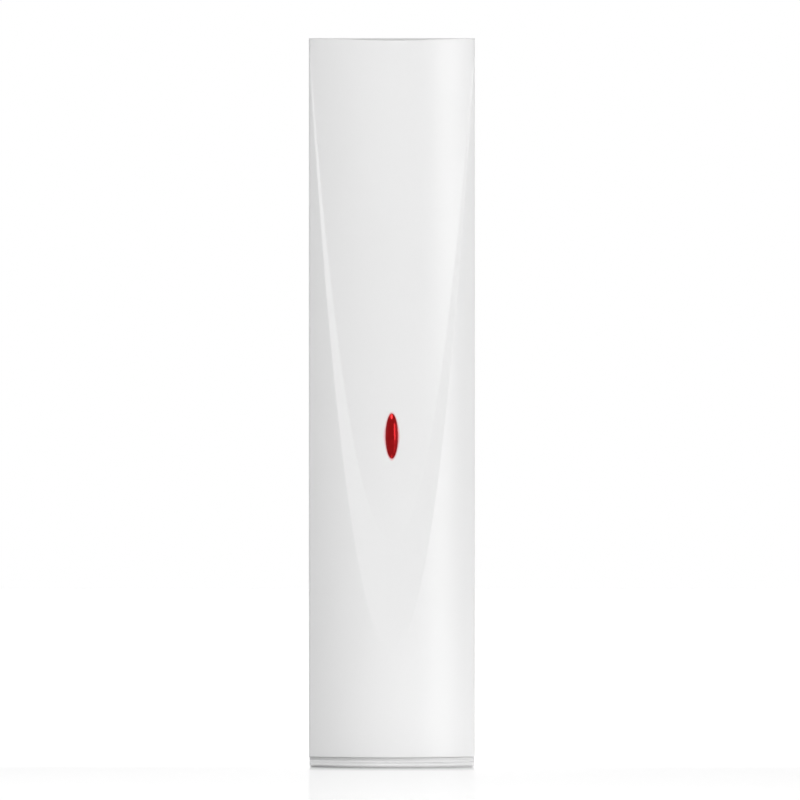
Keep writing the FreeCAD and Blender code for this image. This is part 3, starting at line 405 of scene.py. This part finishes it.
# Each metal's colour, its roughness, and how far apart and how high its grain is in millimetres
METALS = {
    # Tinned in a bath, so a soft and slightly warm grey
    "tinned_reed_wire": ("#C8C8C2", 0.28, 0.4, 0.001),
    # Drawn through a die, which leaves it bright, with a very fine grain
    "drawn_spring_wire": ("#BEBEBA", 0.22, 0.15, 0.0008),
    # Bent from brass and then tinned, so a little yellow comes through
    "tinned_brass_cage": ("#CFCDC4", 0.3, 0.3, 0.001),
    # Zinc plating, an even and slightly blue grey
    "zinc_plated_screw": ("#C9CBCD", 0.26, 0.2, 0.0015),
    # Deep-drawn nickel, clear and smooth
    "drawn_nickel_can": ("#C6C7C6", 0.24, 0.5, 0.0015),
    # Deep-drawn aluminium, cooler and softer than the nickel
    "drawn_aluminium_can": ("#BFC1C4", 0.3, 0.3, 0.0015),
    # A thin flash of gold, a warm and clear yellow
    "gold_flashed_pins": ("#D9B45B", 0.24, 0.3, 0.0008),
    # Solder that flowed and set, with a bright and slightly wavy skin
    "reflowed_solder": ("#B9BBBD", 0.22, 0.8, 0.002),
    # Tinned like the reeds' wire and a little brighter
    "tinned_copper_leads": ("#C9C9C4", 0.25, 0.4, 0.001),
}


def bright_metal(name):
    """Plated or drawn metal: a clean colour with a grain whose streaks catch the light."""
    code, roughness, grain_mm, height_mm = METALS[name]
    material, tree, shader, place = start_material(name, Metallic=1.0, Roughness=roughness)
    hue = linear(code)
    grain = mottle(tree, shader, place, shade(hue, 0.9), hue, grain_mm, height_mm, detail=3.0)
    sheen = add_node(
        tree,
        "ShaderNodeMapRange",
        {"From Min": 0.3, "From Max": 0.7, "To Min": roughness * 0.8, "To Max": roughness * 1.2},
        {"Value": grain},
    ).outputs["Result"]
    tree.links.new(sheen, shader.inputs["Roughness"])
    return material


def rolled_spring_steel(name):
    """Nickel-plated spring strip: fine rolling lines run up the leaf and stretch its highlight."""
    material, tree, shader, place = start_material(name, Metallic=1.0, Roughness=0.3)
    stretched = add_node(
        tree, "ShaderNodeMapping", {"Scale": (1.0, 1.0, 0.05)}, {"Vector": place}
    ).outputs["Vector"]
    hue = linear("#C9C8C2")
    mottle(tree, shader, stretched, shade(hue, 0.8), hue, spacing_mm=0.12, height_mm=0.003)
    return material


def shrunk_sleeve(name, hue, sleeve_low, sleeve_high):
    """A steel can in shrunk film: glossy film between its two ends, bare steel above and below it."""
    material, tree, shader, place = start_material(name, Roughness=0.25)
    bare_metal_beyond(tree, shader, place, "Z", sleeve_low, sleeve_high, hue, linear("#BDBDBA"))
    ripple(tree, shader, place, spacing_mm=3.0, height_mm=0.02, detail=1.0)
    return material


def enamelled_copper(name):
    """Enamelled copper wire: warm metal under a thin clear coat."""
    material, tree, shader, place = start_material(name, Metallic=1.0, Roughness=0.25, Coat_Weight=0.6)
    hue = linear("#B8683C")
    mottle(tree, shader, place, shade(hue, 0.85), hue, spacing_mm=0.5, height_mm=0.001, detail=1.0)
    return material


def moulded_epoxy(name):
    """Black epoxy of chips: matt and slightly speckled by its filler."""
    material, tree, shader, place = start_material(name, IOR=1.55, Roughness=0.6)
    dark, pale = linear("#1C1C1E"), linear("#2C2C2F")
    mottle(tree, shader, place, dark, pale, spacing_mm=0.1, height_mm=0.002)
    return material


def tinned_epoxy(name, body_low, body_high):
    """A moulded chip: matt black between two places across it, bright tinned leads past them."""
    material, tree, shader, place = start_material(name, IOR=1.55, Roughness=0.5)
    epoxy, tin = linear("#222224"), linear("#C4C5C4")
    bare_metal_beyond(tree, shader, place, "X", body_low, body_high, epoxy, tin)
    ripple(tree, shader, place, spacing_mm=0.1, height_mm=0.002, detail=2.0)
    return material


def fired_ceramic(name):
    """Fired ceramic of chip capacitors: a dull tan with darker specks."""
    material, tree, shader, place = start_material(name, IOR=1.7, Roughness=0.45)
    dark, pale = linear("#8A6B4A"), linear("#B8956A")
    mottle(tree, shader, place, dark, pale, spacing_mm=0.2, height_mm=0.003, detail=4.0)
    return material


def cast_resin(name):
    """Milky cast resin of the lamp: pale yellow, with light that sinks in below its glossy skin."""
    material, tree, shader, place = start_material(name, IOR=1.52, Roughness=0.2, Subsurface_Weight=0.3)
    dark, pale = linear("#F2EBC2"), linear("#FBF8E6")
    mottle(tree, shader, place, dark, pale, spacing_mm=0.6, height_mm=0.002)
    return material


# Meshes of the fine parts


def new_piece(name, mesh, material):
    """An object for a finished mesh that moves with the housing."""
    piece = bpy.data.objects.new(name, mesh)
    bpy.context.scene.collection.objects.link(piece)
    mesh.materials.append(material)
    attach(piece, "housing")
    return piece


def turn_profile(shape, profile, turn, steps=16):
    """Adds the solid of a profile of (radius, height) points turned round the local Z axis."""
    rings = []
    for radius, height in profile:
        if radius == 0:
            rings.append([shape.verts.new(turn @ Vector((0, 0, height)))])
            continue
        ring = []
        for step in range(steps):
            angle = 2 * math.pi * step / steps
            corner = Vector((radius * math.cos(angle), radius * math.sin(angle), height))
            ring.append(shape.verts.new(turn @ corner))
        rings.append(ring)
    for lower, upper in zip(rings, rings[1:]):
        for step in range(steps):
            corners = [
                lower[step % len(lower)],
                lower[(step + 1) % len(lower)],
                upper[(step + 1) % len(upper)],
                upper[step % len(upper)],
            ]
            corners = list(dict.fromkeys(corners))
            if len(corners) > 2:
                shape.faces.new(corners)


def finish_mesh(shape, name, smooth=True):
    """Closes a bmesh into a mesh with outward faces."""
    bmesh.ops.recalc_face_normals(shape, faces=shape.faces)
    mesh = bpy.data.meshes.new(name)
    shape.to_mesh(mesh)
    shape.free()
    for face in mesh.polygons:
        face.use_smooth = smooth
    return mesh


def solder_profile(detail, steps=4):
    """Half the section of a joint: a hollow-sided cone of solder up to the wire's end."""
    sides = []
    for step in range(steps + 1):
        share = step / steps
        radius = detail.tail_radius + (detail.solder_radius - detail.tail_radius) * (1 - share) ** 2
        sides.append((radius, detail.solder_height * share))
    top = detail.solder_height + detail.tail_radius
    return [(0, 0), *sides, (detail.tail_radius, top), (0, top + detail.tail_radius / 2)]


def joint_places():
    """Where wires come through the board, as (x, z) points."""
    places = []
    # The two pins of these stand this share of the half width from the middle
    pin_share = 0.7
    for node_name in ("header_pins", "terminal_clamps", "tamper_body"):
        low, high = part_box(node_name)
        reach = (high[0] - low[0]) / 2 * pin_share
        centre = middle(node_name)
        places += [(centre.x - reach, centre.z), (centre.x + reach, centre.z)]
    # The wires of these go through the board just inside their two ends
    end_inset = MILLIMETRE / 2
    for node_name in ("side_reed_blades", "antenna_coil", "storage_capacitor"):
        low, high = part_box(node_name)
        x = middle(node_name).x
        places += [(x, low[2] + end_inset), (x, high[2] - end_inset)]
    # A battery contact is soldered near both ends of its lower edge
    for node_name in ("positive_contact", "negative_contact"):
        low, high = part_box(node_name)
        places += [(low[0] + MILLIMETRE, low[2]), (high[0] - MILLIMETRE, low[2])]
    low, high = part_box("end_reed_blades")
    z = middle("end_reed_blades").z
    tip_inset = MILLIMETRE / 3
    return places + [(low[0] + tip_inset, z), (high[0] - tip_inset, z)]


def wire_curve(name, routes, radius):
    """Round wires along routes of points, rounded at their bends, as one mesh."""
    curve = bpy.data.curves.new(name, "CURVE")
    curve.dimensions = "3D"
    curve.bevel_depth = radius
    curve.bevel_resolution = 3
    curve.use_fill_caps = True
    for route in routes:
        line = curve.splines.new("NURBS")
        line.points.add(len(route) - 1)
        for point, spot in zip(line.points, route):
            point.co = (*spot, 1)
        line.order_u = 3
        line.use_endpoint_u = True
    holder = bpy.data.objects.new(name, curve)
    mesh = bpy.data.meshes.new_from_object(holder)
    bpy.data.objects.remove(holder)
    mesh.materials.clear()
    for face in mesh.polygons:
        face.use_smooth = True
    return mesh


# Operators


class CONTACT_OT_housing(bpy.types.Operator):
    """Finish the front cover and the rear base"""

    bl_idname = "contact.housing"
    bl_label = "Housing"

    def execute(self, context):
        finish = context.scene.contact_finish
        # The cover's colour gets a painted red glow round the light guide
        glow = (finish.painted_glow_colour, finish.painted_glow_reach, finish.guide_flange)
        cover = polished_abs(
            "polished_abs_cover", finish.cover_colour, finish.cover_roughness, finish.crease_radius, glow
        )
        base = polished_abs(
            "polished_abs_base", finish.base_colour, finish.cover_roughness, finish.crease_radius / 2
        )
        dress("front_cover", cover)
        dress("rear_base", base)
        return {"FINISHED"}


class CONTACT_OT_light_guide(bpy.types.Operator):
    """Finish the red light guide and the lamp behind it"""

    bl_idname = "contact.light_guide"
    bl_label = "Light guide"

    def execute(self, context):
        finish = context.scene.contact_finish
        dress(
            "light_guide",
            clear_red_polycarbonate("clear_red_polycarbonate", finish.lens_colour, finish.lens_painted_rim_colour),
        )
        dress("status_led", cast_resin("cast_lamp_resin"))
        return {"FINISHED"}


class CONTACT_OT_board(bpy.types.Operator):
    """Finish the circuit board and the chips on its back"""

    bl_idname = "contact.board"
    bl_label = "Board and chips"

    def execute(self, context):
        finish = context.scene.contact_finish
        dress("circuit_board", solder_resist("solder_resist_board", finish.board_colour))
        lead = 0.6 * MILLIMETRE
        for node_name in ("radio_chip", "microcontroller"):
            low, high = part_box(node_name)
            dress(node_name, tinned_epoxy(f"moulded_epoxy_{node_name}", low[0] + lead, high[0] - lead))
        dress("chip_resistors", moulded_epoxy("moulded_epoxy_chips"))
        dress("chip_capacitors", fired_ceramic("fired_ceramic_chips"))
        return {"FINISHED"}


class CONTACT_OT_reeds(bpy.types.Operator):
    """Finish the two reed switches"""

    bl_idname = "contact.reeds"
    bl_label = "Reed switches"

    def execute(self, context):
        glass = drawn_glass("drawn_glass_reeds")
        wire = bright_metal("tinned_reed_wire")
        for side in ("side", "end"):
            dress(f"{side}_reed_glass", glass)
            dress(f"{side}_reed_blades", wire)
        return {"FINISHED"}


class CONTACT_OT_battery(bpy.types.Operator):
    """Finish the cell, its cradle and its contacts"""

    bl_idname = "contact.battery"
    bl_label = "Battery"

    def execute(self, context):
        finish = context.scene.contact_finish
        low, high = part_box("battery_cell")
        bare_end = 1.9 * MILLIMETRE
        film_low, film_high = low[2] + bare_end / 2, high[2] - bare_end
        dress("battery_cell", shrunk_sleeve("shrunk_sleeve_cell", finish.cell_colour, film_low, film_high))
        dress("battery_cradle", moulded_nylon("black_nylon_cradle", linear("#1E1E1F")))
        strip = rolled_spring_steel("rolled_spring_strip")
        for node_name in ("positive_contact", "negative_contact"):
            dress(node_name, strip)
        return {"FINISHED"}


class CONTACT_OT_lid_switch(bpy.types.Operator):
    """Finish the lid switch with its plunger and spring"""

    bl_idname = "contact.lid_switch"
    bl_label = "Lid switch"

    def execute(self, context):
        dress("tamper_body", moulded_nylon("black_nylon_switch", linear("#202021")))
        dress("tamper_plunger", moulded_nylon("white_acetal_plunger", linear("#E4E2DA"), 0.4))
        wire = bright_metal("drawn_spring_wire")
        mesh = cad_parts["tamper_spring"].data.copy()
        mesh.materials.clear()
        spring = new_piece("plunger_spring", mesh, wire)
        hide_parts("tamper_spring")
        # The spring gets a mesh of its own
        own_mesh(spring)
        return {"FINISHED"}


class CONTACT_OT_terminals(bpy.types.Operator):
    """Finish the terminal block with its cages and screws"""

    bl_idname = "contact.terminals"
    bl_label = "Terminal block"

    def execute(self, context):
        finish = context.scene.contact_finish
        dress("terminal_housing", moulded_nylon("green_nylon_terminal", finish.terminal_colour, 0.5))
        dress("terminal_clamps", bright_metal("tinned_brass_cage"))
        dress("terminal_screws", bright_metal("zinc_plated_screw"))
        return {"FINISHED"}


class CONTACT_OT_small_parts(bpy.types.Operator):
    """Finish the antenna, crystal, capacitor, header and jumper"""

    bl_idname = "contact.small_parts"
    bl_label = "Small parts"

    def execute(self, context):
        dress("antenna_coil", enamelled_copper("enamelled_copper_antenna"))
        dress("crystal_can", bright_metal("drawn_nickel_can"))
        dress("storage_capacitor", bright_metal("drawn_aluminium_can"))
        dress("header_pins", bright_metal("gold_flashed_pins"))
        nylon = moulded_nylon("black_nylon_header", linear("#18181A"))
        for node_name in ("header_block", "jumper_cap"):
            dress(node_name, nylon)
        return {"FINISHED"}


class CONTACT_OT_solder(bpy.types.Operator):
    """Add the solder joints on the back of the board"""

    bl_idname = "contact.solder"
    bl_label = "Solder joints"

    def execute(self, context):
        detail = context.scene.contact_detail
        board_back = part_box("circuit_board")[1][1]
        shape = bmesh.new()
        for x, z in joint_places():
            turn = Matrix.Translation((x, board_back, z)) @ Matrix.Rotation(-math.pi / 2, 4, "X")
            turn_profile(shape, solder_profile(detail), turn)
        solder = bright_metal("reflowed_solder")
        new_piece("solder_joints", finish_mesh(shape, "solder_joints"), solder)
        return {"FINISHED"}


class CONTACT_OT_leads(bpy.types.Operator):
    """Add the wires of the crystal and of the capacitor"""

    bl_idname = "contact.leads"
    bl_label = "Wire leads"

    def execute(self, context):
        detail = context.scene.contact_detail
        board_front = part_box("circuit_board")[0][1]
        routes = []
        for node_name, end_step, half_pitch in (("crystal_can", 1, 0.6), ("storage_capacitor", -1, 1.0)):
            centre = middle(node_name)
            low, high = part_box(node_name)
            end_z = (high if end_step > 0 else low)[2]
            out = end_step * 1.1 * MILLIMETRE
            bend_z = end_z + out * 0.7
            for side in (-1, 1):
                x = centre.x + side * half_pitch * MILLIMETRE
                routes.append(
                    [
                        (x, centre.y, end_z - out / 2),
                        (x, centre.y, end_z + out / 3),
                        (x, centre.y, bend_z),
                        (x, (centre.y + board_front) / 2, bend_z),
                        (x, board_front, bend_z),
                    ]
                )
        wire = bright_metal("tinned_copper_leads")
        mesh = wire_curve("component_leads", routes, detail.lead_radius)
        new_piece("component_leads", mesh, wire)
        return {"FINISHED"}


def soft_box(name, place, target, size, watts):
    """A rectangular area lamp that looks at a target."""
    lamp = bpy.data.lights.new(name, "AREA")
    lamp.shape = "RECTANGLE"
    lamp.size, lamp.size_y = size
    lamp.energy = watts
    holder = bpy.data.objects.new(name, lamp)
    holder.location = place
    aim = Vector(target) - Vector(place)
    holder.rotation_euler = aim.to_track_quat("-Z", "Y").to_euler()
    bpy.context.scene.collection.objects.link(holder)


def white_for_view(tree):
    """1 for rays that show the background: to the camera, in gloss and through glass."""
    path = add_node(tree, "ShaderNodeLightPath")
    seen = add_node(
        tree,
        "ShaderNodeMath",
        links={0: path.outputs["Is Camera Ray"], 1: path.outputs["Is Glossy Ray"]},
        operation="MAXIMUM",
    ).outputs[0]
    return add_node(
        tree, "ShaderNodeMath", links={0: seen, 1: path.outputs["Is Transmission Ray"]}, operation="MAXIMUM"
    ).outputs[0]


def studio_world(studio):
    """A pale room, darker overhead, with a white wall behind the contact that looks white in the view."""
    world = bpy.data.worlds.new("pale_room")
    world.use_nodes = True
    tree = world.node_tree
    background = next(node for node in tree.nodes if node.type == "BACKGROUND")
    direction = add_node(tree, "ShaderNodeTexCoord").outputs["Generated"]
    way = add_node(tree, "ShaderNodeSeparateXYZ", links={"Vector": direction}).outputs
    # The white wall behind lights the contact's sides, so that its outline stays soft
    walls = add_node(
        tree,
        "ShaderNodeMapRange",
        {"From Min": 0.1, "From Max": 0.5, "To Min": studio.room_level, "To Max": studio.backdrop_level},
        {"Value": way["Y"]},
    ).outputs["Result"]
    # From a little above eye level the walls' light fades to the ceiling's
    room = add_node(
        tree,
        "ShaderNodeMapRange",
        {"From Min": 0.2, "From Max": 0.8, "To Max": studio.ceiling_level},
        {"Value": way["Z"], "To Min": walls},
    ).outputs["Result"]
    level = add_node(
        tree, "ShaderNodeMix", {3: 1.0}, {0: white_for_view(tree), 2: room}, data_type="FLOAT"
    ).outputs[0]
    tree.links.new(level, background.inputs["Strength"])
    background.inputs["Color"].default_value = (1, 1, 1, 1)
    bpy.context.scene.world = world


def painted_lit_share(tree, place):
    """How much of the sweep's white a place keeps, from 0 in the contact's painted shadow to 1."""
    # Painted shadow: occlusion by the foot darkens the sweep in front of it, and beside the foot the painted
    # shadow is faded out across its width
    open_share = add_node(
        tree, "ShaderNodeAmbientOcclusion", {"Distance": PAINTED_SHADOW_REACH}, samples=16
    ).outputs["AO"]
    shadow = add_node(
        tree, "ShaderNodeMath", {1: PAINTED_SHADOW_DEPTH}, {0: open_share}, operation="POWER"
    ).outputs[0]
    right = add_node(tree, "ShaderNodeSeparateXYZ", links={"Vector": place}).outputs["X"]
    aside = add_node(tree, "ShaderNodeMath", links={0: right}, operation="ABSOLUTE").outputs[0]
    beside = add_node(
        tree,
        "ShaderNodeMapRange",
        {"From Min": PAINTED_SHADOW_SIDES[0], "From Max": PAINTED_SHADOW_SIDES[1], "To Min": 0.0, "To Max": 1.0},
        {"Value": aside},
    ).outputs["Result"]
    return add_node(tree, "ShaderNodeMath", links={0: shadow, 1: beside}, operation="MAXIMUM").outputs[0]


def floor_material():
    """Glossy white sweep: white where lit, with the contact's shadow painted into its colour and its added
    white, and a faint mirror image of it.
    """
    material, tree, shader, place = start_material(
        "glossy_white_sweep", Roughness=0.7, Specular_IOR_Level=0.0, Emission_Color=(1, 1, 1)
    )
    lit = painted_lit_share(tree, place)
    # Painted shadow: the sweep's colour goes to black in the contact's shadow
    white = add_node(
        tree, "ShaderNodeMix", {6: (0, 0, 0, 1), 7: (*linear("#F2F2F2"), 1)}, {0: lit}, data_type="RGBA"
    ).outputs[2]
    tree.links.new(white, shader.inputs["Base Color"])
    # Behind the contact the white added for the view grows from its front share to full
    back = add_node(tree, "ShaderNodeSeparateXYZ", links={"Vector": place}).outputs["Y"]
    level = add_node(
        tree,
        "ShaderNodeMapRange",
        {"From Min": FAR_SIDE[0], "From Max": FAR_SIDE[1], "To Min": FLOOR_LIFT, "To Max": 1.0},
        {"Value": back},
    ).outputs["Result"]
    # The white added for the view is darkened by the same painted shadow
    in_view = add_node(tree, "ShaderNodeMath", links={0: level, 1: lit}, operation="MULTIPLY").outputs[0]
    # A pool of light on the sweep, more to the right, shines up on the contact's lower front
    reach = add_node(
        tree, "ShaderNodeVectorMath", {1: POOL_PLACE}, {0: place}, operation="DISTANCE"
    ).outputs["Value"]
    pool = add_node(
        tree,
        "ShaderNodeMapRange",
        {"From Min": POOL_RADII[0], "From Max": POOL_RADII[1], "To Min": POOL_GLOW, "To Max": 0.0},
        {"Value": reach},
    ).outputs["Result"]
    lift = add_node(
        tree, "ShaderNodeMix", links={0: white_for_view(tree), 2: pool, 3: in_view}, data_type="FLOAT"
    ).outputs[0]
    tree.links.new(lift, shader.inputs["Emission Strength"])
    gloss = add_node(tree, "ShaderNodeBsdfGlossy", {"Roughness": 0.1}).outputs["BSDF"]
    sweep = add_node(
        tree, "ShaderNodeMixShader", {0: FLOOR_GLOSS}, {1: shader.outputs["BSDF"], 2: gloss}
    ).outputs["Shader"]
    output = next(node for node in tree.nodes if node.type == "OUTPUT_MATERIAL")
    tree.links.new(sweep, output.inputs["Surface"])
    return material


class CONTACT_OT_stage(bpy.types.Operator):
    """Set the floor, the room, the lamps and the camera"""

    bl_idname = "contact.stage"
    bl_label = "Stage"

    def execute(self, context):
        studio = context.scene.contact_studio
        scene = context.scene
        scene.view_settings.view_transform = "Standard"
        shape = bmesh.new()
        bmesh.ops.create_grid(shape, x_segments=1, y_segments=1, size=SWEEP_REACH)
        floor_mesh = finish_mesh(shape, "sweep", smooth=False)
        floor_mesh.materials.append(floor_material())
        sweep = bpy.data.objects.new("sweep", floor_mesh)
        scene.collection.objects.link(sweep)
        sweep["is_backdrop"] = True

        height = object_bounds()[1][2]
        for name, (place, size, share) in LAMPS.items():
            watts = getattr(studio, f"{name}_power")
            soft_box(f"{name}_soft_box", place, (0, 0, height * share), size, watts)
        studio_world(studio)

        view = bpy.data.cameras.new("view")
        view.lens = studio.focal_length
        view.clip_end = 10
        camera = bpy.data.objects.new("view", view)
        camera.location = (studio.aim_x, -studio.distance, studio.aim_z)
        camera.rotation_euler = (math.pi / 2, 0, 0)
        scene.collection.objects.link(camera)
        scene.camera = camera
        return {"FINISHED"}


class CONTACT_PT_parts(bpy.types.Panel):
    """Lists the contact's parts and their settings"""

    bl_label = "Wireless magnetic contact"
    bl_space_type = "VIEW_3D"
    bl_region_type = "UI"
    bl_category = "Contact"

    def draw(self, context):
        for name in GROUPS:
            group = getattr(context.scene, name)
            column = self.layout.column()
            for label in group.__annotations__:
                column.prop(group, label)
        for operator in OPERATORS:
            self.layout.operator(operator.bl_idname)


OPERATORS = (
    CONTACT_OT_housing,
    CONTACT_OT_light_guide,
    CONTACT_OT_board,
    CONTACT_OT_reeds,
    CONTACT_OT_battery,
    CONTACT_OT_lid_switch,
    CONTACT_OT_terminals,
    CONTACT_OT_small_parts,
    CONTACT_OT_solder,
    CONTACT_OT_leads,
    CONTACT_OT_stage,
)
GROUPS = {
    "contact_finish": CONTACT_PG_finish,
    "contact_detail": CONTACT_PG_detail,
    "contact_studio": CONTACT_PG_studio,
}


def register():
    """Makes the settings, operators and panel known to Blender."""
    for name, group in GROUPS.items():
        bpy.utils.register_class(group)
        setattr(bpy.types.Scene, name, bpy.props.PointerProperty(type=group))
    for operator in OPERATORS:
        bpy.utils.register_class(operator)
    bpy.utils.register_class(CONTACT_PT_parts)


def unregister():
    """Takes the panel, operators and settings away again."""
    bpy.utils.unregister_class(CONTACT_PT_parts)
    for operator in reversed(OPERATORS):
        bpy.utils.unregister_class(operator)
    for name, group in GROUPS.items():
        delattr(bpy.types.Scene, name)
        bpy.utils.unregister_class(group)


def main():
    register()
    for operator in OPERATORS:
        area, action = operator.bl_idname.split(".")
        getattr(getattr(bpy.ops, area), action)()


if __name__ == "__main__":
    main()
